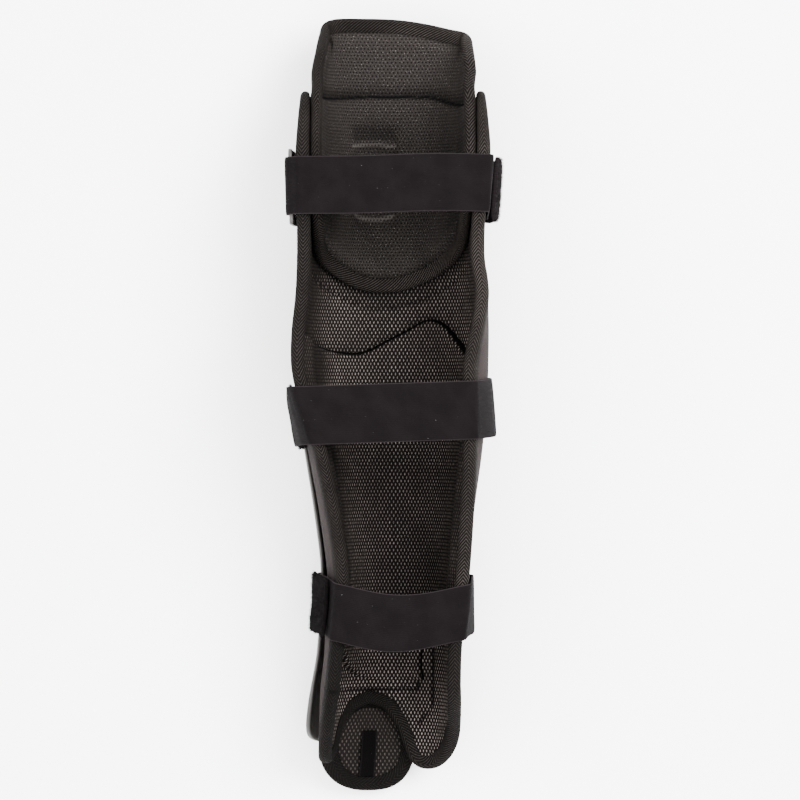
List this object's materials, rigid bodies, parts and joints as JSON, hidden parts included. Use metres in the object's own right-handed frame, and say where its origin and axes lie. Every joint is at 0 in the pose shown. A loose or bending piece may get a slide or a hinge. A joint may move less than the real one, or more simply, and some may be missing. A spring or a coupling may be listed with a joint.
{
  "type": "hockey shin guard",
  "caption": "Ice hockey shin guard for one leg: padded C-shaped body bound round its edge, hard knee cap and shin shell on its front, raised pads and elastic straps over the open back.",
  "frame": {"origin": "A point of the flat on the shin shell's outer face, on the plane that the guard lies on, 248.5 mm above the lobe tips of the body.", "axes": "+Y runs up the leg, from ankle to knee. +Z runs from the hard front, on which the guard lies, to the open back. +X is the right side as seen from the open back."},
  "size_m": [0.1451, 0.5235, 0.1157],
  "materials": {
    "lining_mesh": "matt black spacer mesh with rows of small holes, over foam",
    "outer_fabric": "smooth dark grey knit with a faint sheen",
    "twill_binding": "ribbed black twill tape, folded over the edge and stitched",
    "shell_plastic": "moulded grey plastic with a satin surface",
    "strap_elastic": "fine-ribbed black elastic webbing with rolled edges",
    "hook_tape": "fuzzy black hook-and-loop tape"
  },
  "bodies": {
    "root": {"outer_wrap": "outer_fabric", "liner": "lining_mesh", "edge_binding": "twill_binding", "knee_cap": "shell_plastic", "shin_shell": "shell_plastic", "shin_pad": "lining_mesh", "knee_pad": "lining_mesh", "knee_pad_binding": "twill_binding", "ankle_flap": "lining_mesh", "ankle_flap_binding": "twill_binding", "ankle_loop": "strap_elastic", "top_strap": "strap_elastic", "top_strap_tab": "hook_tape", "strap_plate": "shell_plastic", "middle_strap": "strap_elastic", "middle_strap_tab": "hook_tape", "bottom_strap": "strap_elastic", "bottom_strap_tab": "hook_tape"}
  },
  "joints": []
}
